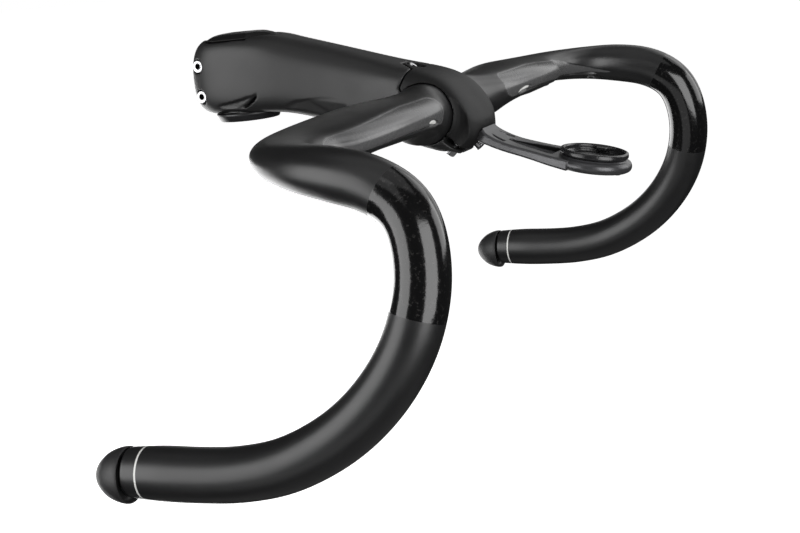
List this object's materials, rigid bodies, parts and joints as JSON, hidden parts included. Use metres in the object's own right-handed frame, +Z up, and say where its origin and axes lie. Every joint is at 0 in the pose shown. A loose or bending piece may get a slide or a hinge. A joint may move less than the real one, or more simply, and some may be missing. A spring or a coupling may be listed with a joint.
{
  "type": "road bicycle handlebar and stem",
  "caption": "Aero drop handlebar clamped in an aero stem, with open-slotted computer mount, steerer top cap and end plugs.",
  "frame": {"origin": "on the steerer axis, at the underside of the lower spacer", "axes": "+X forward along the bicycle, +Y to the rider's left, +Z up along the steerer axis"},
  "size_m": [0.2435, 0.5196, 0.1863],
  "materials": {
    "carbon_bar": "matt clear-coated carbon",
    "carbon_stem": "matt painted carbon",
    "plug_rubber": "satin",
    "bolt_steel": "bright",
    "insert_alloy": "plain",
    "cap_carbon": "matt",
    "cap_bolt_dark": "black oxide",
    "spacer_black": "matt",
    "mount_anodised": "black anodised, satin",
    "receiver_plastic": "satin"
  },
  "bodies": {
    "stem": {"stem_body": "carbon_stem", "faceplate": "carbon_stem", "faceplate_bolt_top": "bolt_steel", "faceplate_bolt_lower_right": "bolt_steel", "faceplate_bolt_lower_left": "bolt_steel", "faceplate_insert_top": "insert_alloy", "faceplate_insert_lower_right": "insert_alloy", "faceplate_insert_lower_left": "insert_alloy", "pinch_bolt_upper": "bolt_steel", "pinch_bolt_lower": "bolt_steel", "pinch_nut_upper": "insert_alloy", "pinch_nut_lower": "insert_alloy", "top_cap": "cap_carbon", "top_cap_bolt": "cap_bolt_dark", "lower_spacer": "spacer_black", "computer_mount_arm": "mount_anodised", "mount_screw": "bolt_steel", "computer_receiver": "receiver_plastic", "receiver_screw_rear": "bolt_steel", "receiver_screw_front": "bolt_steel"},
    "handlebar": {"handlebar": "carbon_bar"},
    "plug_right": {"end_plug_right": "plug_rubber"},
    "plug_left": {"end_plug_left": "plug_rubber"}
  },
  "joints": [
    {"name": "bar_roll", "type": "hinge", "parent": "stem", "child": "handlebar", "pos_m": [0.1125, 0, -0.0026], "axis": [0, 1, 0], "range_deg": [-10, 10]},
    {"name": "plug_pull_right", "type": "slide", "parent": "handlebar", "child": "plug_right", "axis": [-1, 0, 0], "range_m": [0, 0.03]},
    {"name": "plug_pull_left", "type": "slide", "parent": "handlebar", "child": "plug_left", "axis": [-1, 0, 0], "range_m": [0, 0.03]}
  ]
}
